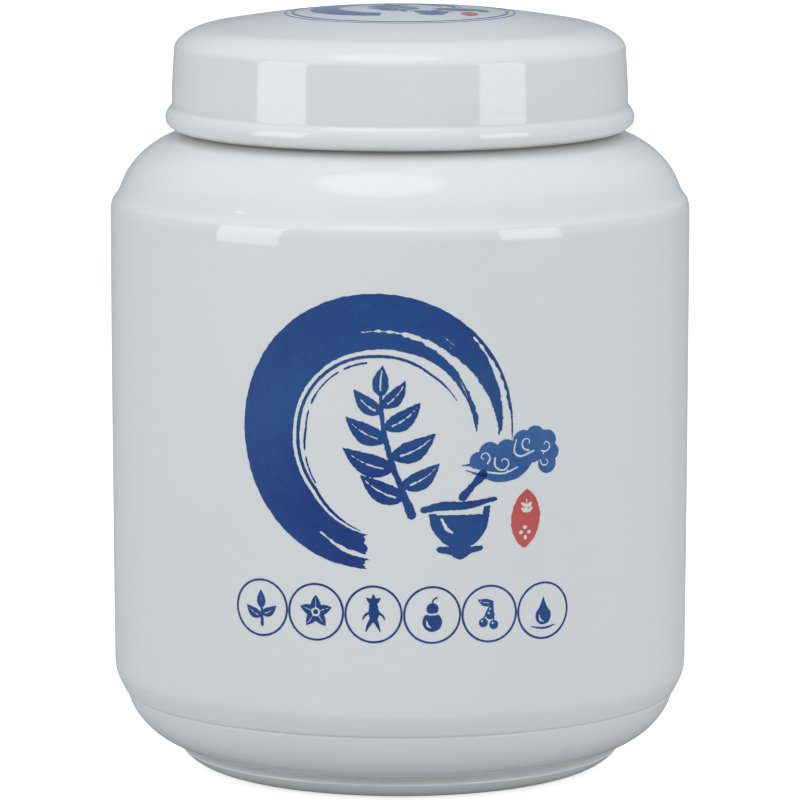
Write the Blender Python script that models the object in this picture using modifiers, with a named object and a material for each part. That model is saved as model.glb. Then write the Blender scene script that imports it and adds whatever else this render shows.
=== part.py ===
"""A porcelain apothecary jar: a turned pot, a lift-off lid with a plug, and a soft seal ring.

Metres, +Z up. The origin is the centre of the circle that the foot rests on, and the jar's front
faces -Y. Every piece is turned about Z, so an outline is a list of (radius, height) points.
"""

import math

import bpy

MM = 0.001

# Driving dimensions
BODY_DIAMETER = 100 * MM
HEIGHT = 131.6 * MM  # from the foot's resting plane to the top of the lid
MOUTH_DIAMETER = 62 * MM
WALL = 4.2 * MM  # porcelain of the pot's straight wall
FIT_GAP = 0.3 * MM  # between two pieces that touch on the real jar

SEGMENTS = 48  # flat faces round each piece
SMOOTH_UP_TO = math.radians(35)  # a sharper bend than this is shaded as an edge

# Pot, outside
BODY_RADIUS = BODY_DIAMETER / 2
BODY_TOP = 96.8 * MM  # where the straight wall starts to round over
BODY_BOTTOM = 19.0 * MM
BODY_TAPER = 0.33 * MM  # how much smaller the radius is at the wall's lower end
BODY_BELLY = 0.07 * MM  # how far the wall swells half way up
EDGE = (49.62 * MM, 98.7 * MM)  # lower end of the step between wall and shoulder
EDGE_RISE = 0.08 * MM  # a rise is the height of an arc's middle over its chord, and it is
STEP_RISE = -0.10 * MM  # negative where the outline is hollow
SHOULDER_CENTRE = (33.3 * MM, 96.7 * MM)
SHOULDER_SIZE = (15.75 * MM, 14.0 * MM)
SHOULDER_ENDS = (78, 16.3)  # degrees up from level, at the neck and at the step
NECK_RADIUS = 34.8 * MM
NECK_FILLET = 1.6 * MM
RIM_Z = 123.6 * MM
BEVEL_TOP = (49.45 * MM, 16.5 * MM)
BEVEL_TOP_RISE = 0.06 * MM
BEVEL_RISE = 0.10 * MM
BEVEL_BOTTOM = (47.95 * MM, 13.2 * MM)
LINE_DEPTH = 0.6 * MM  # the incised line between bevel and bowl
LINE_WIDTH = 0.5 * MM
LINE_STEP = 0.35 * MM  # how far the bowl is set in under the bevel
BOWL_BOTTOM = (38.7 * MM, 4.3 * MM)
BOWL_RISE = 1.65 * MM
GROOVE = (36.85 * MM, 3.7 * MM)  # the turned groove above the foot ring
FOOT_TOP = (38.2 * MM, 2.9 * MM)
FOOT_RISE = 0.55 * MM
REST_RADIUS = 33.0 * MM
REST_INNER_RADIUS = 29.2 * MM
RECESS = 3.0 * MM  # how far the underside is set up inside the foot ring
RECESS_DOME = 0.4 * MM  # how much higher the underside is at its middle
RECESS_FILLET = 1.4 * MM

# Pot, inside
FLOOR_Z = 8.0 * MM
FLOOR_RADIUS = 33.0 * MM
FLOOR_RISE = -2.6 * MM
INSIDE_INSET = 1.5 * MM  # how far the inner wall's ends lie inside the outer wall's ends
INSIDE_SHOULDER_RISE = -4.2 * MM
MOUTH_RADIUS = MOUTH_DIAMETER / 2
NECK_INNER_BOTTOM = 109.0 * MM

# Lid
DOME_RADIUS = 181 * MM  # of the shallow sphere that the top is part of
LID_SHOULDER = (5.9 * MM, 2.8 * MM)  # width and drop of the rounding between dome and skirt
SKIRT_RADIUS = 38.9 * MM
SKIRT_FLARE = 0.45 * MM
SKIRT_BOTTOM = 116.8 * MM
BEAD_CENTRE = (37.55 * MM, 112.7 * MM)
BEAD_WIDTH = 2.9 * MM
BEAD_UP = 2.7 * MM
BEAD_DOWN = 2.1 * MM
BEAD_FILLET_RISE = -0.08 * MM
SKIRT_FOOT = 0.6 * MM  # how far above the bead's centre the skirt's straight inside starts
SKIRT_FOOT_RISE = 0.2 * MM
SKIRT_INNER_RADIUS = 35.6 * MM
SEAL_FLANGE = 1.1 * MM  # thickness of the seal's flange, which the lid stands on
SEAT_Z = RIM_Z + SEAL_FLANGE + 2 * FIT_GAP
SEAT_FILLET = 1.5 * MM
PLUG_RADIUS = 28.6 * MM
PLUG_WALL = 3.2 * MM
PLUG_BOTTOM = 114.8 * MM
PLUG_LIP = 0.6 * MM  # the lip that keeps the seal ring on the plug
PLUG_LIP_HEIGHT = 0.9 * MM
PLUG_EDGE = 0.5 * MM  # rounding of the plug's lower edges
LID_UNDERSIDE = HEIGHT - 4.8 * MM
LID_UNDERSIDE_SAG = 1.0 * MM

# Seal ring
SEAL_SLEEVE = 1.0 * MM  # thickness of the sleeve on the plug
SEAL_HAUNCH = 1.6 * MM  # slope that stiffens the corner of sleeve and flange
FIN_COUNT = 3
FIN_PITCH = 2.0 * MM
FIN_THICKNESS = 0.9 * MM
FIN_TIP_THICKNESS = 0.4 * MM
FLANGE_EDGE = 0.5 * MM  # bevel on the flange's corner
FLANGE_RADIUS = NECK_RADIUS - 0.6 * MM
SLEEVE_FOOT = 0.3 * MM  # bevel at the sleeve's lower end

PORCELAIN = ((0.80, 0.83, 0.84), 0.12)
SILICONE = ((0.86, 0.87, 0.86), 0.45)


def arc(centre, size, start, end, count):
    """Points of an ellipse arc about centre, from one angle to the other in degrees."""
    width, height = size
    points = []
    for i in range(count + 1):
        angle = math.radians(start + (end - start) * i / count)
        points.append((centre[0] + width * math.cos(angle), centre[1] + height * math.sin(angle)))
    return points


def round_arc(centre, radius, start, end, count):
    return arc(centre, (radius, radius), start, end, count)


def bow(start, end, rise, count):
    """Points of a circle arc from start to end. Its middle stands rise to the left of the chord."""
    chord_x = end[0] - start[0]
    chord_z = end[1] - start[1]
    length = math.hypot(chord_x, chord_z)
    radius = (length * length / 4 + rise * rise) / (2 * rise)  # negative where rise is
    half_angle = math.asin(length / (2 * radius))
    left = (-chord_z / length, chord_x / length)
    middle = ((start[0] + end[0]) / 2, (start[1] + end[1]) / 2)
    centre = (middle[0] - left[0] * (radius - rise), middle[1] - left[1] * (radius - rise))
    first = math.atan2(start[1] - centre[1], start[0] - centre[0])
    points = []
    for i in range(count + 1):
        angle = first - 2 * half_angle * i / count
        across = abs(radius) * math.cos(angle)
        up = abs(radius) * math.sin(angle)
        points.append((centre[0] + across, centre[1] + up))
    return points


def pot_outline():
    """From the middle of the floor up the inside, over the rim, and down the outside to the foot."""
    body_bottom = (BODY_RADIUS - BODY_TAPER, BODY_BOTTOM)
    body_top = (BODY_RADIUS, BODY_TOP)
    inside_bottom = (body_bottom[0] - WALL, BODY_BOTTOM + INSIDE_INSET)
    inside_top = (BODY_RADIUS - WALL, BODY_TOP - INSIDE_INSET)
    inside = [(0, FLOOR_Z)]
    inside += bow((FLOOR_RADIUS, FLOOR_Z), inside_bottom, FLOOR_RISE, 6)
    inside += bow(inside_top, (MOUTH_RADIUS, NECK_INNER_BOTTOM), INSIDE_SHOULDER_RISE, 7)

    rim_round = (NECK_RADIUS - MOUTH_RADIUS) / 2
    rim = round_arc((MOUTH_RADIUS + rim_round, RIM_Z - rim_round), rim_round, 180, 0, 6)
    fillet_centre = (NECK_RADIUS + NECK_FILLET, SHOULDER_CENTRE[1] + SHOULDER_SIZE[1] + NECK_FILLET)
    neck = round_arc(fillet_centre, NECK_FILLET, 180, 262, 3)
    shoulder = arc(SHOULDER_CENTRE, SHOULDER_SIZE, *SHOULDER_ENDS, 8)
    step = bow(shoulder[-1], EDGE, STEP_RISE, 3)[1:]
    edge = bow(EDGE, body_top, EDGE_RISE, 3)[1:-1]
    wall = bow(body_top, body_bottom, BODY_BELLY, 3)

    bevel_round = bow(body_bottom, BEVEL_TOP, BEVEL_TOP_RISE, 3)[1:]
    bevel = bow(BEVEL_TOP, BEVEL_BOTTOM, BEVEL_RISE, 2)[1:]
    line = [(BEVEL_BOTTOM[0] - LINE_DEPTH, BEVEL_BOTTOM[1] - LINE_WIDTH / 2)]
    bowl_top = (BEVEL_BOTTOM[0] - LINE_STEP, BEVEL_BOTTOM[1] - LINE_WIDTH)
    bowl = bow(bowl_top, BOWL_BOTTOM, BOWL_RISE, 7)
    foot = [GROOVE] + bow(FOOT_TOP, (REST_RADIUS, 0), FOOT_RISE, 4)
    recess_corner = (REST_INNER_RADIUS - RECESS_FILLET, RECESS - RECESS_FILLET)
    underside = [(REST_INNER_RADIUS, 0)]
    underside += round_arc(recess_corner, RECESS_FILLET, 0, 90, 3)
    underside += [(0, RECESS + RECESS_DOME)]
    outside = shoulder + step + edge + wall + bevel_round + bevel + line + bowl + foot
    return inside + rim + neck + outside + underside


def lid_top(radius, shoulder_drop):
    return (radius, HEIGHT - radius * radius / (2 * DOME_RADIUS) - shoulder_drop)


def lid_outline():
    """From the top of the dome down the outside, round the bead, and up inside to the middle."""
    width, drop = LID_SHOULDER
    shoulder_start = SKIRT_RADIUS - width
    dome = [lid_top(shoulder_start * i / 4, 0) for i in range(4)]
    shoulder = []
    for i in range(10):
        angle = math.radians(90 * i / 9)
        shoulder.append(lid_top(shoulder_start + width * math.sin(angle), drop * (1 - math.cos(angle))))
    skirt_bottom = (SKIRT_RADIUS + SKIRT_FLARE, SKIRT_BOTTOM)
    bead = arc(BEAD_CENTRE, (BEAD_WIDTH, BEAD_UP), 50, 0, 4)
    bead += arc(BEAD_CENTRE, (BEAD_WIDTH, BEAD_DOWN), 0, -105, 6)[1:]
    fillet = bow(skirt_bottom, bead[0], BEAD_FILLET_RISE, 2)[:-1]
    skirt_inside = (SKIRT_INNER_RADIUS, BEAD_CENTRE[1] + SKIRT_FOOT)
    skirt_foot = bow(bead[-1], skirt_inside, SKIRT_FOOT_RISE, 2)[1:]

    seat_corner = (SKIRT_INNER_RADIUS - SEAT_FILLET, SEAT_Z - SEAT_FILLET)
    seat = round_arc(seat_corner, SEAT_FILLET, 0, 90, 3)
    lip_top = PLUG_BOTTOM + PLUG_LIP_HEIGHT
    lip_radius = PLUG_RADIUS + PLUG_LIP
    plug = [(PLUG_RADIUS, SEAT_Z), (PLUG_RADIUS, lip_top), (lip_radius, lip_top)]
    plug += round_arc((lip_radius - PLUG_EDGE, PLUG_BOTTOM + PLUG_EDGE), PLUG_EDGE, 0, -90, 2)
    plug_inner = PLUG_RADIUS - PLUG_WALL
    plug += round_arc((plug_inner + PLUG_EDGE, PLUG_BOTTOM + PLUG_EDGE), PLUG_EDGE, 270, 180, 2)
    ceiling_corner = (plug_inner - SEAT_FILLET, LID_UNDERSIDE - LID_UNDERSIDE_SAG - SEAT_FILLET)
    ceiling = round_arc(ceiling_corner, SEAT_FILLET, 0, 90, 3) + [(0, LID_UNDERSIDE)]
    return dome + shoulder + fillet + bead + skirt_foot + seat + plug + ceiling


def seal_outline():
    """A closed loop: the flange over the rim, then the sleeve with its fins, then the bore."""
    bore = PLUG_RADIUS + FIT_GAP
    sleeve = bore + SEAL_SLEEVE
    fin_tip = MOUTH_RADIUS - FIT_GAP
    flange_top = SEAT_Z - FIT_GAP
    flange_bottom = flange_top - SEAL_FLANGE
    bottom = PLUG_BOTTOM + PLUG_LIP_HEIGHT + FIT_GAP
    points = [
        (bore, flange_top),
        (FLANGE_RADIUS - FLANGE_EDGE, flange_top),
        (FLANGE_RADIUS, flange_top - FLANGE_EDGE),
        (FLANGE_RADIUS, flange_bottom),
        (sleeve + SEAL_HAUNCH, flange_bottom),
        (sleeve, flange_bottom - SEAL_HAUNCH),
    ]
    for i in reversed(range(FIN_COUNT)):
        fin = bottom + FIN_PITCH * (i + 0.5)
        points += [
            (sleeve, fin + FIN_THICKNESS / 2),
            (fin_tip, fin + FIN_TIP_THICKNESS / 2),
            (fin_tip, fin - FIN_TIP_THICKNESS / 2),
            (sleeve, fin - FIN_THICKNESS / 2),
        ]
    return points + [(sleeve - SLEEVE_FOOT, bottom), (bore, bottom)]


def material(name, look):
    colour, roughness = look
    made = bpy.data.materials.new(name)
    made.use_nodes = True
    shader = made.node_tree.nodes["Principled BSDF"]
    shader.inputs["Base Color"].default_value = (*colour, 1)
    shader.inputs["Roughness"].default_value = roughness
    shader.inputs["Metallic"].default_value = 0
    return made


def turned(name, outline, closed, look, parent, collection):
    """The outline turned once about Z. A closed outline is a ring, an open one ends on the axis."""
    profile = bpy.data.meshes.new(name + "_outline")
    count = len(outline)
    edges = [(i, i + 1) for i in range(count - 1)]
    if closed:
        edges.append((count - 1, 0))
    profile.from_pydata([(radius, 0, height) for radius, height in outline], edges, [])
    piece = bpy.data.objects.new(name, profile)
    collection.objects.link(piece)
    screw = piece.modifiers.new("turn", "SCREW")
    screw.axis = "Z"
    screw.steps = SEGMENTS
    screw.render_steps = SEGMENTS
    screw.use_merge_vertices = True
    screw.merge_threshold = 0.01 * MM
    bpy.context.view_layer.update()
    solid = bpy.data.meshes.new_from_object(piece.evaluated_get(bpy.context.evaluated_depsgraph_get()))
    piece.modifiers.clear()
    piece.data = solid
    bpy.data.meshes.remove(profile)
    solid.name = name
    solid.shade_smooth()
    solid.set_sharp_from_angle(angle=SMOOTH_UP_TO)
    solid.materials.append(material(name, look))
    piece.parent = parent
    return piece


def axis(name, parent, collection):
    """An empty on the jar's axis, which a moving piece is parented to."""
    empty = bpy.data.objects.new(name, None)
    empty.empty_display_size = BODY_RADIUS
    collection.objects.link(empty)
    empty.parent = parent
    return empty


def main():
    for old in list(bpy.data.objects):
        bpy.data.objects.remove(old)
    collection = bpy.data.collections.new("apothecary_jar")
    bpy.context.scene.collection.children.link(collection)
    lift = axis("lid_lift_axis", None, collection)
    turn = axis("lid_turn_axis", lift, collection)
    turned("jar_body", pot_outline(), False, PORCELAIN, None, collection)
    turned("seal_ring", seal_outline(), True, SILICONE, lift, collection)
    turned("lid", lid_outline(), False, PORCELAIN, turn, collection)


main()
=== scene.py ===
import math

import bmesh
import bpy
import numpy as np
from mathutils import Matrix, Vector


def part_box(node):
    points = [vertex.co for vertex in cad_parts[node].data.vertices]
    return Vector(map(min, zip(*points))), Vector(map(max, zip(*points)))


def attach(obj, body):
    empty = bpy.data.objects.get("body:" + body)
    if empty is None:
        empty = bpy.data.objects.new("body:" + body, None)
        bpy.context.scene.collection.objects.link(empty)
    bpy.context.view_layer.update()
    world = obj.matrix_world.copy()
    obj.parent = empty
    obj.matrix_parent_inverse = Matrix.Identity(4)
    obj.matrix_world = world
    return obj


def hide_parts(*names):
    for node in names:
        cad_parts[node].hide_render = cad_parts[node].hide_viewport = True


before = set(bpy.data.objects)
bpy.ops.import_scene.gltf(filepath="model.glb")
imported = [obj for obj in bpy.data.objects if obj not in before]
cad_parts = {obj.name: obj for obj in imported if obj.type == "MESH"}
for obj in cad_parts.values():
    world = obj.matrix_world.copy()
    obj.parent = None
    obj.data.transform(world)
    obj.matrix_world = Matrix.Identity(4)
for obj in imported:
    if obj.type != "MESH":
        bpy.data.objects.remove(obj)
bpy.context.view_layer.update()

# The looks of the porcelain apothecary jar. Lengths are metres in the CAD's frame, and prints are
# drawn in millimetres: u runs round the wall from the middle of the front, and v goes up.
MM = 0.001
jar_low, jar_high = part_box("jar_body")
lid_low, lid_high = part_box("lid")
BODY_RADIUS = (jar_high.x - jar_low.x) / 2

# Turned surfaces
WELD = 0.002 * MM  # vertices closer than this are one
CORNER = 35  # degrees: a sharper bend in an outline is a corner, and gets rounded
GLAZE_ROUND = 0.32 * MM  # how far from a corner the glaze starts to round it
SILICONE_ROUND = 0.12 * MM
SPIN = 256  # segments round a turned piece
STEP = 2.0 * MM  # longest step along an outline
STEP_TURN = 4.5  # degrees: largest turn in a step
POOL_REACH = 1.2 * MM  # how far to each side a hollow in an outline is judged over

# Prints
PRINT_RISE = 0.035 * MM  # how far a fired-on print stands proud of the glaze
PRINT_SINK = 0.045 * MM
FINE, BROAD = 0.10, 0.17  # grid cells for thin lines and for broad strokes, in millimetres
PRINT_RADIUS = 50.0  # the wall radius that u is measured at, in millimetres
WALL_ZERO = 0.65  # the height of v = 0 on the wall, in millimetres


# ---- outlines --------------------------------------------------------------------------------


def section(node):
    """The outline that a CAD node was turned from: its mesh edges in the half-plane y = 0, x > 0."""
    mesh = bmesh.new()
    mesh.from_mesh(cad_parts[node].data)
    bmesh.ops.remove_doubles(mesh, verts=mesh.verts, dist=WELD)
    flat = [v for v in mesh.verts if abs(v.co.y) < WELD and v.co.x > -WELD]
    inside = set(flat)
    beside = {v: [e.other_vert(v) for e in v.link_edges if e.other_vert(v) in inside] for v in flat}
    ends = [v for v in flat if len(beside[v]) == 1]
    closed = not ends
    here = max(ends or flat, key=lambda v: v.co.z)
    chain = [here]
    seen = {here}
    while True:
        onward = [v for v in beside[here] if v not in seen]
        if not onward:
            break
        here = onward[0]
        seen.add(here)
        chain.append(here)
    points = np.array([(max(v.co.x, 0.0), v.co.z) for v in chain])
    mesh.free()
    ring = np.roll(points, -1, axis=0)
    area = np.sum(points[:, 0] * ring[:, 1] - ring[:, 0] * points[:, 1])
    return (points[::-1] if area < 0 else points), closed


def unit(vector):
    return vector / np.linalg.norm(vector)


def turn_between(a, b):
    return math.degrees(math.acos(max(-1.0, min(1.0, float(np.dot(a, b))))))


def knots(points, closed, rounding):
    """(point, direction) pairs for a smooth curve. A corner becomes two knots, cut back a little."""
    count = len(points)
    made = []
    for i, point in enumerate(points):
        first, last = not closed and i == 0, not closed and i == count - 1
        before = points[1] * (-1, 1) if first else points[i - 1]
        after = points[i - 1] * (-1, 1) if last else points[(i + 1) % count]
        into, out = point - before, after - point
        long_in, long_out = np.linalg.norm(into), np.linalg.norm(out)
        if turn_between(into / long_in, out / long_out) <= CORNER or first or last:
            made.append((point, unit(into + out)))
            continue
        cut_in, cut_out = min(rounding, 0.4 * long_in), min(rounding, 0.4 * long_out)
        made.append((point - cut_in * into / long_in, into / long_in))
        made.append((point + cut_out * out / long_out, out / long_out))
    return made


def smooth(node, rounding):
    """The node's outline as a fine curve: (radius, height) points, their normals, and if it closes."""
    points, closed = section(node)
    pairs = knots(points, closed, rounding)
    stretches = list(zip(pairs, pairs[1:] + pairs[:1] if closed else pairs[1:]))
    fine, ways = [], []
    for (start, way_in), (end, way_out) in stretches:
        chord = np.linalg.norm(end - start)
        count = max(1, math.ceil(chord / STEP), math.ceil(turn_between(way_in, way_out) / STEP_TURN))
        for i in range(count):
            t = i / count
            place = (2 * t**3 - 3 * t**2 + 1) * start + (3 * t**2 - 2 * t**3) * end
            place = place + chord * ((t**3 - 2 * t**2 + t) * way_in + (t**3 - t**2) * way_out)
            way = 6 * (t**2 - t) * (start - end) / chord
            way = way + (3 * t**2 - 4 * t + 1) * way_in + (3 * t**2 - 2 * t) * way_out
            fine.append(place)
            ways.append(unit(way))
    if not closed:
        fine.append(pairs[-1][0])
        ways.append(pairs[-1][1])
    ways = np.array(ways)
    return np.array(fine), np.stack([ways[:, 1], -ways[:, 0]], axis=1), closed


def uneven(x, y, z):
    """How far a thrown and fired wall strays from true, in metres: long, very shallow waves."""
    around = np.arctan2(y, x)
    sway = 0.016 * np.sin(2 * around + 0.9) + 0.010 * np.sin(3 * around + z / (14 * MM) + 2.0)
    sway += 0.007 * np.sin(5 * around - z / (9 * MM) + 0.4) + 0.006 * np.sin(z / (6.5 * MM) + around)
    fade = np.clip(np.hypot(x, y) / (12 * MM), 0, 1) * np.clip(z / (10 * MM), 0, 1)
    return sway * MM * fade


def hollowness(fine):
    """For each outline point, -1 on a sharp ridge to 1 in a sharp hollow, where glaze gathers."""
    steps = np.linalg.norm(np.diff(fine, axis=0), axis=1)
    along = np.concatenate([[0], np.cumsum(steps)])
    made = []
    for i, place in enumerate(fine):
        ahead, behind = along[i] + POOL_REACH, along[i] - POOL_REACH
        a = np.array([np.interp(behind, along, fine[:, k]) for k in (0, 1)])
        b = np.array([np.interp(ahead, along, fine[:, k]) for k in (0, 1)])
        middle = (a + b) / 2 - place
        chord = b - a
        made.append((chord[1] * middle[0] - chord[0] * middle[1]) / (np.dot(chord, chord) + 1e-12))
    return np.clip(np.array(made) * 5, -1, 1)


def turned(name, node, rounding, material, body, true=False):
    """The CAD node's outline turned again, finely, with the slight waves of a real wall."""
    fine, normals, closed = smooth(node, rounding)
    hollow = hollowness(fine)
    count = len(fine)
    verts, pool, rings = [], [], []
    for i in range(count):
        radius, z = fine[i]
        spokes = 1 if radius < WELD else SPIN
        angle = 2 * math.pi * np.arange(spokes) / spokes
        x, y = radius * np.cos(angle), radius * np.sin(angle)
        sway = 0 if true else uneven(x, y, np.full(spokes, z))
        rings.append((len(verts), spokes))
        across = radius + normals[i][0] * sway
        height = z + normals[i][1] * sway + 0 * angle
        if spokes == 1:
            across = 0 * angle
        verts += list(zip(across * np.cos(angle), across * np.sin(angle), height))
        pool += [hollow[i]] * spokes
    faces = []
    for (a, spokes_a), (b, spokes_b) in zip(rings, rings[1:] + rings[:1] if closed else rings[1:]):
        for k in range(SPIN):
            after = (k + 1) % SPIN
            if spokes_a == 1:
                faces.append((a, b + after, b + k))
            elif spokes_b == 1:
                faces.append((a + k, a + after, b))
            else:
                faces.append((a + k, a + after, b + after, b + k))
    mesh = bpy.data.meshes.new(name)
    mesh.from_pydata(verts, [], faces)
    mesh.shade_smooth()
    attribute = mesh.attributes.new("hollow", "FLOAT", "POINT")
    attribute.data.foreach_set("value", pool)
    piece = add(name, mesh, material, body)
    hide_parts(node)
    return piece


def add(name, mesh, material, body):
    mesh.materials.append(material)
    piece = bpy.data.objects.new(name, mesh)
    bpy.context.scene.collection.objects.link(piece)
    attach(piece, body)
    return piece


# ---- materials -------------------------------------------------------------------------------


def make_node(tree, kind, inputs=(), **settings):
    made = tree.nodes.new(kind)
    for key, value in settings.items():
        setattr(made, key, value)
    for key, value in dict(inputs).items():
        if isinstance(value, bpy.types.NodeSocket):
            tree.links.new(value, made.inputs[key])
        else:
            made.inputs[key].default_value = value
    return made


def noise(tree, where, scale, detail=2.0, rough=0.5):
    settings = {"Vector": where, "Scale": scale, "Detail": detail, "Roughness": rough}
    return make_node(tree, "ShaderNodeTexNoise", settings).outputs["Fac"]


def remap(tree, value, from_min, from_max, to_min=0.0, to_max=1.0):
    settings = {"Value": value, "From Min": from_min, "From Max": from_max}
    settings.update({"To Min": to_min, "To Max": to_max})
    return make_node(tree, "ShaderNodeMapRange", settings).outputs["Result"]


def mix(tree, factor, a, b):
    made = make_node(tree, "ShaderNodeMix", data_type="RGBA")
    for index, value in ((0, factor), (6, a), (7, b)):
        if isinstance(value, bpy.types.NodeSocket):
            tree.links.new(value, made.inputs[index])
        elif index:
            made.inputs[index].default_value = (*value, 1)
        else:
            made.inputs[index].default_value = value
    return made.outputs[2]


def maths(tree, operation, a, b=0.0):
    return make_node(tree, "ShaderNodeMath", {0: a, 1: b}, operation=operation).outputs[0]


def bump(tree, height, depth, below=None):
    inputs = {"Height": height, "Distance": depth, "Strength": 1.0}
    if below is not None:
        inputs["Normal"] = below
    return make_node(tree, "ShaderNodeBump", inputs).outputs["Normal"]


def start_material(name):
    material = bpy.data.materials.new(name)
    material.use_nodes = True
    tree = material.node_tree
    shader = tree.nodes["Principled BSDF"]
    where = make_node(tree, "ShaderNodeTexCoord").outputs["Object"]
    return material, tree, shader, where


GLAZE = (0.803, 0.828, 0.834)
GLAZE_WARM = (0.818, 0.828, 0.822)
GLAZE_POOL = (0.66, 0.71, 0.71)  # where glaze runs thick in a hollow
GLAZE_THIN = (0.84, 0.86, 0.86)  # where it draws back from a ridge
BARE_CLAY = (0.74, 0.72, 0.68)
CLAY_SHADE = (0.58, 0.55, 0.50)


def porcelain(name, bare_below):
    """Clear glaze on white porcelain, and bare clay where the height is under bare_below."""
    material, tree, shader, where = start_material(name)
    shader.inputs["IOR"].default_value = 1.52
    shader.inputs["Subsurface Weight"].default_value = 0.12
    shader.inputs["Subsurface Scale"].default_value = 0.0012
    shader.inputs["Subsurface Radius"].default_value = (1.0, 0.9, 0.8)

    hollow = make_node(tree, "ShaderNodeAttribute", attribute_name="hollow").outputs["Fac"]
    tone = mix(tree, remap(tree, noise(tree, where, 26, 3), 0.35, 0.65), GLAZE, GLAZE_WARM)
    tone = mix(tree, remap(tree, hollow, 0.3, 1.0, 0, 0.6), tone, GLAZE_POOL)
    tone = mix(tree, remap(tree, hollow, -0.3, -1.0, 0, 0.3), tone, GLAZE_THIN)
    dots = make_node(tree, "ShaderNodeTexVoronoi", {"Vector": where, "Scale": 95.0}).outputs["Distance"]
    rare = remap(tree, noise(tree, where, 60, 0), 0.66, 0.70)
    speck = maths(tree, "MULTIPLY", remap(tree, dots, 0.035, 0.02), rare)
    tone = mix(tree, maths(tree, "MULTIPLY", speck, 0.75), tone, (0.16, 0.13, 0.10))

    height = make_node(tree, "ShaderNodeSeparateXYZ", {"Vector": where}).outputs["Z"]
    wander = remap(tree, noise(tree, where, 180, 2), 0.3, 0.7, -0.25 * MM, 0.25 * MM)
    above = maths(tree, "SUBTRACT", maths(tree, "ADD", height, wander), bare_below)
    bare = remap(tree, above, 0.12 * MM, -0.12 * MM)
    grain = noise(tree, where, 2600, 3)
    clay = mix(tree, remap(tree, grain, 0.35, 0.7), BARE_CLAY, CLAY_SHADE)
    tree.links.new(mix(tree, bare, tone, clay), shader.inputs["Base Color"])

    sheen = remap(tree, noise(tree, where, 70, 4), 0.3, 0.75, 0.045, 0.085)
    rough = maths(tree, "ADD", sheen, maths(tree, "MULTIPLY", bare, 0.62))
    tree.links.new(rough, shader.inputs["Roughness"])

    ripple = bump(tree, noise(tree, where, 115, 1.5), 0.030 * MM)
    cells = make_node(tree, "ShaderNodeTexVoronoi", {"Vector": where, "Scale": 240.0})
    pinholes = remap(tree, cells.outputs["Distance"], 0.0, 0.06)
    pitted = bump(tree, pinholes, 0.010 * MM, ripple)
    rough_clay = bump(tree, maths(tree, "MULTIPLY", grain, bare), 0.06 * MM, pitted)
    tree.links.new(rough_clay, shader.inputs["Normal"])
    return material


def ink(name, deep, light):
    """A fired-on print: flat colour that gathers and thins a little, under the glaze's gloss."""
    material, tree, shader, where = start_material(name)
    shader.inputs["IOR"].default_value = 1.5
    cloud = noise(tree, where, 55, 3)
    fine = noise(tree, where, 1500, 2)
    worn = maths(tree, "ADD", maths(tree, "MULTIPLY", cloud, 0.8), maths(tree, "MULTIPLY", fine, 0.2))
    tree.links.new(mix(tree, remap(tree, worn, 0.36, 0.64), deep, light), shader.inputs["Base Color"])
    tree.links.new(remap(tree, fine, 0.3, 0.7, 0.07, 0.13), shader.inputs["Roughness"])
    ripple = bump(tree, noise(tree, where, 115, 1.5), 0.030 * MM)
    tree.links.new(bump(tree, fine, 0.004 * MM, ripple), shader.inputs["Normal"])
    return material


def silicone(name):
    material, tree, shader, where = start_material(name)
    shader.inputs["IOR"].default_value = 1.41
    shader.inputs["Subsurface Weight"].default_value = 0.35
    shader.inputs["Subsurface Scale"].default_value = 0.002
    haze = remap(tree, noise(tree, where, 60, 3), 0.35, 0.65)
    milky = mix(tree, haze, (0.80, 0.81, 0.79), (0.86, 0.865, 0.85))
    tree.links.new(milky, shader.inputs["Base Color"])
    matt = remap(tree, noise(tree, where, 900, 3), 0.3, 0.7, 0.36, 0.52)
    tree.links.new(matt, shader.inputs["Roughness"])
    tree.links.new(bump(tree, noise(tree, where, 1800, 2), 0.01 * MM), shader.inputs["Normal"])
    return material


# ---- drawing prints --------------------------------------------------------------------------
# A shape is a function of grids u, v that is below 0 inside. Shapes join by the smaller value.


def value_noise(x, y, seed):
    """Smooth noise from -1 to 1 with about one bump in each unit."""
    table = np.random.default_rng(seed).uniform(-1, 1, (64, 64))
    i, j = np.floor(x).astype(int), np.floor(y).astype(int)
    s, t = x - i, y - j
    s, t = s * s * (3 - 2 * s), t * t * (3 - 2 * t)
    lower = table[i % 64, j % 64] * (1 - s) + table[(i + 1) % 64, j % 64] * s
    upper = table[i % 64, (j + 1) % 64] * (1 - s) + table[(i + 1) % 64, (j + 1) % 64] * s
    return lower * (1 - t) + upper * t


def join(*fields):
    return np.minimum.reduce(fields)


def cut(field, *holes):
    return np.maximum(field, -np.minimum.reduce(holes))


def disc(u, v, centre, radius, squash=1.0):
    return np.hypot(u - centre[0], (v - centre[1]) / squash) - radius


def hoop(u, v, centre, radius, width):
    return abs(np.hypot(u - centre[0], v - centre[1]) - radius) - width / 2


def curve(points, count=24):
    """Points of a smooth curve through the given ones, each of (u, v, half width)."""
    points = [np.array(p, float) for p in points]
    ends = [2 * points[0] - points[1]] + points + [2 * points[-1] - points[-2]]
    made = []
    for a, b, c, d in zip(ends, ends[1:], ends[2:], ends[3:]):
        for i in range(count):
            t = i / count
            spread = (c - a) * t + (2 * a - 5 * b + 4 * c - d) * t**2 + (3 * b - a - 3 * c + d) * t**3
            made.append(b + spread / 2)
    return made + [points[-1]]


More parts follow.
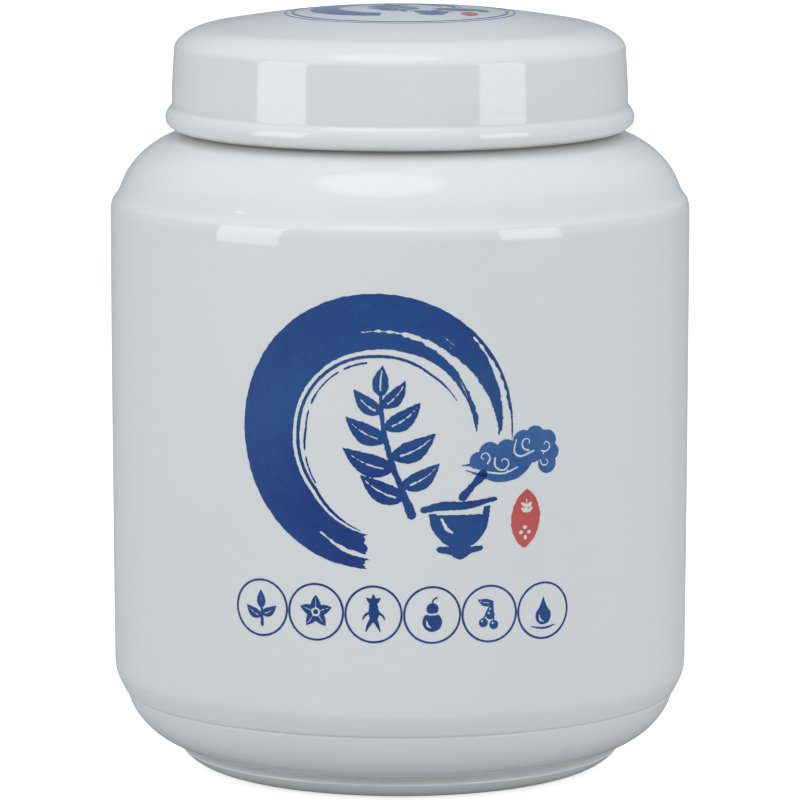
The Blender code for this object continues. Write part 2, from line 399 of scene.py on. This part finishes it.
def stroke(u, v, points, count=10):
    """A brush stroke along a smooth curve, as wide at each point as it says."""
    field = np.full(u.shape, 1e3)
    line = curve(points, count)
    for a, b in zip(line, line[1:]):
        du, dv = b[0] - a[0], b[1] - a[1]
        t = np.clip(((u - a[0]) * du + (v - a[1]) * dv) / (du * du + dv * dv + 1e-9), 0, 1)
        field = np.minimum(field, np.hypot(u - a[0] - t * du, v - a[1] - t * dv) - a[2] - t * (b[2] - a[2]))
    return field


def leaf(u, v, base, angle, length, width, bend=0.0, vein=0.16):
    """A pointed leaf from its base towards an angle in degrees, with a light vein down its middle."""
    way = math.radians(angle)
    s = ((u - base[0]) * math.cos(way) + (v - base[1]) * math.sin(way)) / length
    n = -(u - base[0]) * math.sin(way) + (v - base[1]) * math.cos(way)
    n = n - bend * length * s * (1 - s) * 4
    inside = np.clip(s, 0, 1)
    half = width / 2 * np.sin(math.pi * inside**0.75) ** 0.9
    blade = np.maximum(abs(n) - half, np.maximum(-s, s - 1) * length)
    if not vein:
        return blade
    line = np.maximum(abs(n) - vein * (1.15 - inside), np.maximum(0.18 - s, s - 0.86) * length)
    return cut(blade, line)


def sheet(name, shape, area, cell, place, material, body):
    """The inside of a shape as a thin closed sheet that lies in the surface given by place."""
    (left, bottom), (right, top) = area
    us, vs = np.arange(left, right + cell, cell), np.arange(bottom, top + cell, cell)
    u, v = np.meshgrid(us, vs, indexing="ij")
    field = shape(u, v)
    field[[0, -1], :] = 1.0
    field[:, [0, -1]] = 1.0
    inside = field < 0
    corners = inside[:-1, :-1] | inside[1:, :-1] | inside[1:, 1:] | inside[:-1, 1:]
    places, index, faces = [], {}, []

    def corner(i, j):
        if (i, j) not in index:
            index[i, j] = len(places)
            places.append((us[i], vs[j]))
        return index[i, j]

    def crossing(a, b):
        a, b = min(a, b), max(a, b)
        if (a, b) not in index:
            t = field[a] / (field[a] - field[b])
            t = min(0.96, max(0.04, t))
            index[a, b] = len(places)
            places.append((us[a[0]] * (1 - t) + us[b[0]] * t, vs[a[1]] * (1 - t) + vs[b[1]] * t))
        return index[a, b]

    for i, j in np.argwhere(corners):
        square = [(i, j), (i + 1, j), (i + 1, j + 1), (i, j + 1)]
        face = []
        for a, b in zip(square, square[1:] + square[:1]):
            if inside[a]:
                face.append(corner(*a))
            if inside[a] != inside[b]:
                face.append(crossing(a, b))
        faces.append(face)
    count = len(places)
    edges = set()
    for face in faces:
        edges.update(zip(face, face[1:] + face[:1]))
    rim = [(a, b) for a, b in edges if (b, a) not in edges]
    faces += [[count + k for k in reversed(face)] for face in faces]
    faces += [[b, a, count + a, count + b] for a, b in rim]
    flat = np.array(places)
    verts = np.concatenate([place(flat, PRINT_RISE), place(flat, -PRINT_SINK)])
    mesh = bpy.data.meshes.new(name)
    mesh.from_pydata(verts.tolist(), [], faces)
    mesh.shade_smooth()
    mesh.set_sharp_from_angle(angle=math.radians(40))
    return add(name, mesh, material, body)


def wall_place(flat, lift):
    """On the jar's wall, u millimetres round from the front and v up, lift metres proud of it."""
    angle = flat[:, 0] / PRINT_RADIUS - math.pi / 2
    z = (flat[:, 1] + WALL_ZERO) * MM
    radius = np.interp(z, WALL[:, 1], WALL[:, 0])
    x, y = radius * np.cos(angle), radius * np.sin(angle)
    radius = radius + uneven(x, y, z) + lift
    return np.stack([radius * np.cos(angle), radius * np.sin(angle), z], axis=1)


def dome_place(flat, lift):
    """On the lid's top, u to the right and v to the back of its middle."""
    x, y = flat[:, 0] * MM, flat[:, 1] * MM
    z = np.interp(np.hypot(x, y), DOME[:, 0], DOME[:, 1])
    return np.stack([x, y, z + uneven(x, y, z) + lift], axis=1)


# ---- the prints ------------------------------------------------------------------------------

RING_CENTRE = (-4.2, 64.6)


def polar(u, v, centre):
    """Radius, and the angle in degrees from -90 (bottom) anticlockwise by the right to 270."""
    angle = np.degrees(np.arctan2(v - centre[1], u - centre[0]))
    return np.hypot(u - centre[0], v - centre[1]), np.where(angle < -88, angle + 360, angle)


def band(r, angle, stops, inner, outer, ragged, seed, ends):
    """A stretch of brush stroke round a circle, between radii given at angle stops."""
    low_edge, high_edge = np.interp(angle, stops, inner), np.interp(angle, stops, outer)
    fray = value_noise(angle / 2.2, r * 0.7, seed) + 0.5 * value_noise(angle / 0.8, r * 2, seed + 1)
    fray = ragged * fray
    across = abs(r - (low_edge + high_edge) / 2) - (high_edge - low_edge) / 2 + fray
    start, end = ends
    bristle = 5.0 * value_noise(r * 1.9, r * 0 + 0.5, seed + 2)
    bristle = bristle + 1.6 * value_noise(r * 6, angle / 9, seed + 3)
    along = np.maximum(start + bristle - angle, angle - end - bristle * 0.55) * r * math.pi / 180
    return np.maximum(across, along)


def brush_ring(u, v):
    """A loose brush circle: pressed from the bottom round the left, running dry at the right."""
    r, angle = polar(u, v, RING_CENTRE)
    stops = [-6, 10, 25, 45, 70, 100, 135, 180, 225, 250, 270]
    inside = [17.1, 16.5, 15.9, 15.2, 14.1, 13.5, 13.6, 14.0, 15.1, 16.7, 17.7]
    outside = [23.5, 23.6, 23.6, 23.4, 23.1, 23.0, 23.0, 23.1, 23.2, 23.3, 23.3]
    whole = band(r, angle, stops, inside, outside, 0.07, 11, (-4, 266))
    gap_in = [17.35, 17.4, 17.0, 16.8, 16.7, 16.6, 16.6, 16.6, 16.6, 16.6, 16.6]
    gap_out = [21.2, 20.4, 19.3, 18.1, 17.3, 16.62, 16.6, 16.6, 16.6, 16.6, 16.6]
    gap = band(r, angle, stops, gap_in, gap_out, 0.16, 23, (-40, 99))
    edge_in = [21.5, 21.9, 22.2, 22.7, 22.9, 22.9, 22.9, 22.9, 22.9, 22.9, 22.9]
    edge_out = [23.2, 23.1, 23.0, 22.8, 22.9, 22.9, 22.9, 22.9, 22.9, 22.9, 22.9]
    edge_gap = band(r, angle, stops, edge_in, edge_out, 0.15, 37, (-40, 44))
    heel_stops = [236, 244, 254, 268]
    heel_in, heel_out = [19.2, 19.5, 20.2, 20.9], [19.2, 19.8, 20.9, 21.7]
    heel = band(r, angle, heel_stops, heel_in, heel_out, 0.14, 41, (236, 300))
    dry = value_noise(r * 4.2, angle / 26, 5) + 0.5 * value_noise(r * 9, angle / 12, 6)
    dry_stops = [-6, 30, 60, 90, 235, 262, 270]
    dryness = np.interp(angle, dry_stops, [0.70, 0.86, 1.12, 1.6, 1.6, 1.15, 0.9])
    streaks = (dryness - dry) * 0.22
    return cut(np.maximum(whole, -streaks), gap, edge_gap, heel)


def ring_threads(u, v):
    """The thin lines that stray bristles leave inside the brush circle."""
    r, angle = polar(u, v, RING_CENTRE)
    outer_stops = [20, 45, 90, 135, 180, 225, 262]
    outer_at = np.interp(angle, outer_stops, [14.6, 13.3, 12.5, 12.7, 13.1, 14.2, 17.0])
    outer_half = np.interp(angle, [18, 40, 90, 180, 240, 263], [0.05, 0.20, 0.27, 0.30, 0.27, 0.05])
    outer = np.maximum(abs(r - outer_at) - outer_half, np.maximum(20 - angle, angle - 262) * 0.2)
    inner_at = np.interp(angle, [95, 135, 180, 222], [11.5, 11.55, 11.75, 13.5])
    inner_half = 0.15 + 0.05 * value_noise(angle / 7, r * 0, 8)
    for gap_at, gap_half in ((119, 2.2), (161, 3), (199, 2.5)):
        inner_half = inner_half - 0.3 * np.exp(-((angle - gap_at) / gap_half) ** 2)
    inner = np.maximum(abs(r - inner_at) - inner_half, np.maximum(96 - angle, angle - 222) * 0.2)
    fray = 0.05 * value_noise(angle / 1.7, r * 2, 9)
    return join(outer, inner) + fray


def sprig(u, v):
    """A leafy herb stem in brush strokes."""
    stem = [(1.9, 50.6, 0.85), (0.4, 54.5, 0.55), (-1.6, 60.0, 0.48), (-2.9, 66.0, 0.40),
            (-3.2, 71.0, 0.28)]
    shape = stroke(u, v, stem)
    blades = [
        (0.9, 53.2, 152, 8.6, 3.6, 0.10),
        (0.2, 55.2, 32, 7.6, 3.3, -0.10),
        (-0.9, 58.2, 158, 9.4, 3.9, 0.10),
        (-1.6, 60.2, 28, 8.6, 3.7, -0.10),
        (-2.2, 63.0, 150, 8.0, 3.5, 0.10),
        (-2.7, 65.0, 36, 7.6, 3.3, -0.10),
        (-3.0, 67.6, 140, 6.2, 2.8, 0.10),
        (-3.1, 68.6, 48, 6.0, 2.7, -0.10),
        (-3.2, 70.4, 86, 5.2, 2.8, 0.04),
    ]
    for x, y, angle, length, width, bend in blades:
        shape = join(shape, leaf(u, v, (x, y), angle, length, width, bend))
    return shape + 0.09 * value_noise(u * 2.4, v * 2.4, 61)


def mortar(u, v):
    """A mortar with its pestle, in brush strokes."""
    bowl = stroke(u, v, [(5.2, 51.6, 0.55), (6.1, 48.3, 0.75), (8.6, 46.0, 0.95), (11.6, 46.0, 0.95),
                         (14.0, 48.4, 0.75), (14.8, 51.8, 0.5)])
    fill = np.maximum(disc(u, v, (10.0, 51.2), 5.1, 1.02), v - 50.4)
    shine = stroke(u, v, [(7.0, 49.7, 0.2), (7.9, 48.0, 0.32), (9.6, 47.1, 0.12)])
    rim = stroke(u, v, [(3.8, 51.3, 0.5), (7.0, 51.9, 0.72), (11.5, 52.0, 0.66), (16.2, 52.9, 0.35)])
    foot = stroke(u, v, [(6.7, 44.6, 0.55), (9.8, 44.2, 0.7), (13.6, 44.7, 0.42)])
    neck = stroke(u, v, [(10.1, 46.5, 1.5), (10.1, 44.8, 1.9)])
    pestle = stroke(u, v, [(10.6, 53.4, 0.75), (12.4, 55.4, 0.55), (14.0, 57.0, 0.85)])
    shape = join(bowl, cut(fill, shine), foot, neck)
    shape = join(cut(shape, rim - 0.35), rim, pestle)
    return shape + 0.08 * value_noise(u * 2.6, v * 2.6, 71)


def spiral(centre, size, start, turns, half, way=1):
    """Points of a curl that winds in to its centre, for a stroke."""
    points = []
    for i in range(int(turns * 8) + 1):
        t = i / (turns * 8)
        angle = math.radians(start) + way * 2 * math.pi * turns * t
        reach = size * (1 - 0.85 * t)
        width = half * (1 - 0.5 * t)
        points.append((centre[0] + reach * math.cos(angle), centre[1] + reach * math.sin(angle), width))
    return points


def cloud(u, v):
    """A plain curling cloud with a tail."""
    puffs = [(13.3, 59.3, 1.6), (15.2, 60.6, 1.9), (18.2, 60.9, 1.9), (21.2, 62.3, 1.9), (23.4, 63.0, 1.8),
             (25.6, 62.2, 1.8), (26.6, 60.2, 1.4), (25.7, 58.3, 1.7), (20.0, 59.4, 2.4), (16.5, 58.8, 2.2),
             (23.0, 60.6, 2.0)]
    shape = join(*[disc(u, v, (x, y), r) for x, y, r in puffs])
    tail = stroke(u, v, [(10.4, 58.7, 0.08), (12.6, 58.6, 0.35), (15.0, 57.2, 0.7), (18.0, 56.5, 0.8),
                         (20.8, 57.6, 0.9), (22.6, 59.6, 0.8)])
    lines = [
        stroke(u, v, spiral((17.6, 58.9), 1.7, 150, 1.1, 0.17), 4),
        stroke(u, v, spiral((14.2, 59.9), 1.2, -60, 0.9, 0.15), 4),
        stroke(u, v, spiral((22.0, 62.0), 1.35, -80, 0.9, 0.16, -1), 4),
        stroke(u, v, spiral((25.4, 61.4), 1.2, -130, 0.9, 0.15), 4),
        stroke(u, v, spiral((25.4, 58.7), 1.0, 170, 0.8, 0.14), 4),
        stroke(u, v, [(19.9, 62.6, 0.12), (19.6, 60.6, 0.17), (20.8, 59.8, 0.17), (23.2, 60.6, 0.15)]),
        stroke(u, v, [(11.9, 58.2, 0.08), (14.4, 57.5, 0.15), (17.6, 57.1, 0.16), (20.2, 58.0, 0.12)]),
    ]
    under = stroke(u, v, [(11.0, 57.9, 0.05), (13.4, 57.0, 0.22), (16.6, 55.9, 0.26), (20.0, 56.3, 0.20),
                          (22.0, 57.8, 0.06)])
    return join(cut(join(shape, tail), *lines), under) + 0.03 * value_noise(u * 3, v * 3, 81)


def seal(u, v):
    """A small almond-shaped red mark with a twig and four dots left white."""
    centre = (21.7, 49.2)
    height = (v - centre[1]) / 4.95
    half = 2.65 * np.clip(1 - abs(height) ** 2.1, 0, 1) ** 0.75
    shape = np.maximum(abs(u - centre[0] - 0.25 * height) - half, (abs(height) - 1) * 4)
    twig = stroke(u, v, [(21.9, 49.9, 0.12), (21.9, 52.4, 0.10)])
    blades = [leaf(u, v, (21.9, y), angle, 1.35, 0.7, 0, 0) for y in (50.3, 51.2) for angle in (35, 145)]
    around = ((-0.75, 0), (0.75, 0), (0, 0.85), (0, -0.85))
    dots = [disc(u, v, (21.6 + x, 46.9 + y), 0.36) for x, y in around]
    return cut(shape, twig, *blades, *dots) + 0.10 * value_noise(u * 2.2, v * 2.2, 91)


ROUNDEL_PITCH = 9.87
ROUNDEL_FIRST = -24.2
ROUNDEL_HEIGHT = 33.65
ROUNDEL_TILT = -0.012  # how much the row of them climbs to the right
ROUNDEL_RADIUS = 4.72
ROUNDEL_LINE = 0.36
ROUNDEL_REACH = 5.2  # half the side of the square that a roundel is drawn in


def twin_leaf(u, v):
    shape = stroke(u, v, [(0.1, -2.9, 0.28), (0.0, -0.6, 0.22), (-0.1, 1.2, 0.14)])
    left = leaf(u, v, (0, -1.5), 148, 3.4, 1.7, 0.1, 0.1)
    right = leaf(u, v, (0, -1.1), 30, 3.2, 1.6, -0.1, 0.1)
    return join(shape, left, right, leaf(u, v, (-0.05, -0.1), 92, 3.1, 1.6, 0, 0.1))


def blossom(u, v):
    petals = [leaf(u, v, (0, 0), 90 + 72 * i, 2.9, 1.75, 0, 0.09) for i in range(5)]
    return join(cut(join(*petals), disc(u, v, (0, 0), 0.75)), disc(u, v, (0, 0), 0.45))


def root(u, v):
    shape = stroke(u, v, [(0, 1.4, 0.75), (0.1, 0.2, 0.85), (0, -0.8, 0.6)])
    legs = [stroke(u, v, [(0, -0.6, 0.5), (x, -1.8, 0.3), (x * 1.6, -2.9, 0.09)]) for x in (-0.8, 0.7)]
    arms = [stroke(u, v, [(0, 0.6, 0.3), (x, -0.1, 0.2), (x * 1.4, -0.9, 0.07)]) for x in (-1.3, 1.4)]
    tops = [leaf(u, v, (0, 1.8), angle, 1.6, 0.8, 0, 0) for angle in (40, 90, 140)]
    return join(shape, *legs, *arms, *tops)


def gourd(u, v):
    shape = join(disc(u, v, (0, -1.2), 1.65), disc(u, v, (0.05, 1.0), 1.02))
    neck = stroke(u, v, [(0.05, 1.7, 0.2), (0.15, 2.5, 0.13), (0.75, 2.9, 0.2)])
    shine = stroke(u, v, [(-0.95, -0.9, 0.1), (-0.75, -1.8, 0.2), (-0.2, -2.2, 0.08)])
    belt = stroke(u, v, [(-1.2, 0.25, 0.12), (0, 0.05, 0.16), (1.2, 0.25, 0.12)])
    return join(cut(shape, shine, belt), neck)


def berries(u, v):
    round_ones = [disc(u, v, place, 0.78) for place in ((-1.1, -1.5), (0.75, -1.9), (0.1, -0.2))]
    glints = [disc(u, v, place, 0.2) for place in ((-1.35, -1.2), (0.5, -1.6), (-0.15, 0.1))]
    stalks = [stroke(u, v, [(0.5, 2.0, 0.18), (x / 2 + 0.2, 0.6, 0.12), (x, y, 0.1)])
              for x, y in ((-1.1, -0.9), (0.75, -1.3), (0.1, 0.4))]
    return join(cut(join(*round_ones), *glints), *stalks, leaf(u, v, (0.5, 1.9), 168, 2.7, 1.3, 0.1, 0.08))


def drop(u, v):
    bulb = disc(u, v, (0, -0.9), 1.5)
    tip = np.maximum(abs(u) - 1.36 * np.clip((2.6 - v) / 3.1, 0, 1) ** 1.35, np.maximum(-0.6 - v, v - 2.6))
    shine = stroke(u, v, [(-0.75, -0.8, 0.1), (-0.6, -1.5, 0.18), (0.0, -1.85, 0.08)])
    ripples = stroke(u, v, [(-2.3, -2.6, 0.08), (0, -3.0, 0.2), (2.3, -2.6, 0.08)])
    return join(cut(join(bulb, tip), shine), ripples)


MOTIFS = [twin_leaf, blossom, root, gourd, berries, drop]


def emblem(u, v):
    return join(brush_ring(u, v), sprig(u, v), mortar(u, v), cloud(u, v))


MEDALLION_SCALE = 0.56
MEDALLION_MIDDLE = (0.4, 63.0)  # the emblem's point that lies on the lid's axis


def medallion_blue(u, v):
    """The emblem again, small, in a double ring."""
    inner = (u / MEDALLION_SCALE + MEDALLION_MIDDLE[0], v / MEDALLION_SCALE + MEDALLION_MIDDLE[1])
    rings = join(hoop(u, v, (0, 0), 19.75, 0.28), hoop(u, v, (0, 0), 18.5, 0.5))
    rings = rings + 0.05 * value_noise(u * 1.5, v * 1.5, 101)
    return join(emblem(*inner) * MEDALLION_SCALE, rings)


def medallion_red(u, v):
    inner = (u / MEDALLION_SCALE + MEDALLION_MIDDLE[0], v / MEDALLION_SCALE + MEDALLION_MIDDLE[1])
    return seal(*inner) * MEDALLION_SCALE


# ---- building --------------------------------------------------------------------------------

jar_glaze = porcelain("jar_glaze", 0.4 * MM)
lid_glaze = porcelain("lid_glaze", lid_low.z + 0.55 * MM)
turned("porcelain_pot", "jar_body", GLAZE_ROUND, jar_glaze, "jar")
turned("porcelain_lid", "lid", GLAZE_ROUND, lid_glaze, "lid")
turned("silicone_seal", "seal_ring", SILICONE_ROUND, silicone("seal_silicone"), "seal", True)

pot_outline = smooth("jar_body", GLAZE_ROUND)[0]
outer_wall = pot_outline[:, 0] > 0.97 * BODY_RADIUS
WALL = pot_outline[outer_wall]
WALL = WALL[np.argsort(WALL[:, 1])]
cap_outline = smooth("lid", GLAZE_ROUND)[0]
DOME = cap_outline[cap_outline[:, 1] > lid_high.z - 2.0 * MM]
DOME = DOME[np.argsort(DOME[:, 0])]

blue = ink("blue_print", (0.001, 0.034, 0.215), (0.010, 0.080, 0.275))
pale_blue = ink("pale_blue_print", (0.018, 0.095, 0.31), (0.05, 0.16, 0.41))
red = ink("red_print", (0.57, 0.085, 0.083), (0.66, 0.115, 0.11))

for name, shape, area, cell, material in (
    ("print_brush_ring", brush_ring, ((-29, 40), (21, 89.5)), BROAD, blue),
    ("print_ring_threads", ring_threads, ((-20, 46), (13, 79.5)), FINE, blue),
    ("print_sprig", sprig, ((-13, 49), (8, 77)), FINE, blue),
    ("print_mortar", mortar, ((2.5, 42.5), (18, 59)), FINE, blue),
    ("print_cloud", cloud, ((9.5, 54.5), (29.5, 66)), FINE, pale_blue),
    ("print_seal", seal, ((18, 43.5), (25.5, 55)), FINE, red),
):
    sheet(name, shape, area, cell, wall_place, material, "jar")

for i, motif in enumerate(MOTIFS):
    across = ROUNDEL_FIRST + i * ROUNDEL_PITCH
    middle = (across, ROUNDEL_HEIGHT + ROUNDEL_TILT * across)

    def roundel(u, v, motif=motif, middle=middle):
        ring = hoop(u, v, middle, ROUNDEL_RADIUS, ROUNDEL_LINE)
        inner = motif(u - middle[0], v - middle[1]) + 0.04 * value_noise(u * 3, v * 3, 31)
        return join(ring + 0.02 * value_noise(u * 2, v * 2, 32), inner)

    area = [tuple(at + way * ROUNDEL_REACH for at in middle) for way in (-1, 1)]
    sheet(f"print_roundel_{i + 1}", roundel, area, FINE, wall_place, blue, "jar")

for name, shape, area, material in (
    ("print_lid_blue", medallion_blue, ((-21, -21), (21, 21)), pale_blue),
    ("print_lid_red", medallion_red, ((8, -12), (16, -2)), red),
):
    sheet(name, shape, area, FINE, dome_place, material, "lid")


# ---- studio ----------------------------------------------------------------------------------


FLOOR_HALF = 60.0  # half the floor's side
KEY_PLACE = (-0.1, -0.2, 1.1)
CAMERA_DISTANCE = 11 * 2 * BODY_RADIUS
CAMERA_HEIGHT = 0.2238
CAMERA_PITCH = 8.305  # degrees down from level
CAMERA_LENS = 288.05


def floor_sheet(name, height, colour, glow):
    """A pale floor. The glow keeps it white to the camera."""
    corners = ((-1, -1), (1, -1), (1, 1), (-1, 1))
    mesh = bpy.data.meshes.new(name)
    mesh.from_pydata([(FLOOR_HALF * x, FLOOR_HALF * y, height) for x, y in corners], [], [(0, 1, 2, 3)])
    material, tree, shader, where = start_material(name)
    tone = mix(tree, noise(tree, where, 4, 2), colour, tuple(min(1.0, c * 1.02) for c in colour))
    tree.links.new(tone, shader.inputs["Base Color"])
    shader.inputs["Roughness"].default_value = 0.9
    shader.inputs["Specular IOR Level"].default_value = 0.1
    shader.inputs["Emission Color"].default_value = (1, 1, 1, 1)
    shader.inputs["Emission Strength"].default_value = glow
    mesh.materials.append(material)
    made = bpy.data.objects.new(name, mesh)
    bpy.context.scene.collection.objects.link(made)
    return made


def softbox(name, azimuth, distance, centre_height, width, height, radiance):
    """A level-facing window. Azimuth is round from the camera's side, positive to the right."""
    light = bpy.data.lights.new(name, "AREA")
    light.shape = "RECTANGLE"
    light.size, light.size_y = width, height
    light.energy = radiance * math.pi * width * height
    made = bpy.data.objects.new(name, light)
    bpy.context.scene.collection.objects.link(made)
    turn = math.radians(azimuth)
    made.location = (distance * math.sin(turn), -distance * math.cos(turn), centre_height)
    way = made.location.copy()
    way.z = 0
    made.rotation_euler = way.to_track_quat("Z", "Y").to_euler()
    return made


def overhead(name, width, depth, radiance):
    """An oval soft light that hangs level over the jar, a little to the front and left."""
    light = bpy.data.lights.new(name, "AREA")
    light.shape = "ELLIPSE"
    light.size, light.size_y = width, depth
    light.energy = radiance * math.pi * math.pi / 4 * width * depth
    made = bpy.data.objects.new(name, light)
    bpy.context.scene.collection.objects.link(made)
    made.location = KEY_PLACE
    return made


def studio_world():
    """Pale walls: brightest overhead and front right, then back right, front left and back left."""
    world = bpy.data.worlds.new("studio")
    world.use_nodes = True
    tree = world.node_tree
    where = make_node(tree, "ShaderNodeTexCoord").outputs["Generated"]
    way = make_node(tree, "ShaderNodeSeparateXYZ", {"Vector": where}).outputs
    front = mix(tree, remap(tree, way["X"], -0.4, 0.4), (0.27, 0.28, 0.29), (0.61, 0.63, 0.65))
    back = mix(tree, remap(tree, way["X"], -0.4, 0.4), (0.24, 0.27, 0.30), (0.38, 0.41, 0.44))
    wall = mix(tree, remap(tree, way["Y"], -0.25, 0.25), front, back)
    tone = mix(tree, remap(tree, way["Z"], 0.35, 0.75), wall, (0.60, 0.64, 0.69))
    background = tree.nodes["Background"]
    tree.links.new(tone, background.inputs["Color"])
    return world


scene = bpy.context.scene
floor = floor_sheet("floor", -0.0002, (0.86, 0.86, 0.86), 0.7)
for ray in ("diffuse", "glossy", "transmission", "volume_scatter", "shadow"):
    setattr(floor, "visible_" + ray, False)
bounce = floor_sheet("floor_bounce", -0.0004, (0.50, 0.51, 0.51), 0.05)
bounce.visible_camera = False

softbox("window_left", -61, 1.0, 0.35, 0.50, 0.70, 3.0)
softbox("window_right", 52, 1.0, 0.316, 0.45, 0.59, 2.8)
overhead("key_core", 0.48, 0.60, 1.6)
overhead("key_rim", 0.62, 0.78, 1.2)
scene.world = studio_world()
scene.view_settings.view_transform = "Standard"

camera = bpy.data.cameras.new("camera")
camera.lens = CAMERA_LENS
camera.sensor_width = 36
camera.clip_start, camera.clip_end = 0.05, 200
view = bpy.data.objects.new("camera", camera)
scene.collection.objects.link(view)
view.location = (0, -CAMERA_DISTANCE, CAMERA_HEIGHT)
view.rotation_euler = (math.radians(90 - CAMERA_PITCH), 0, 0)
scene.camera = view
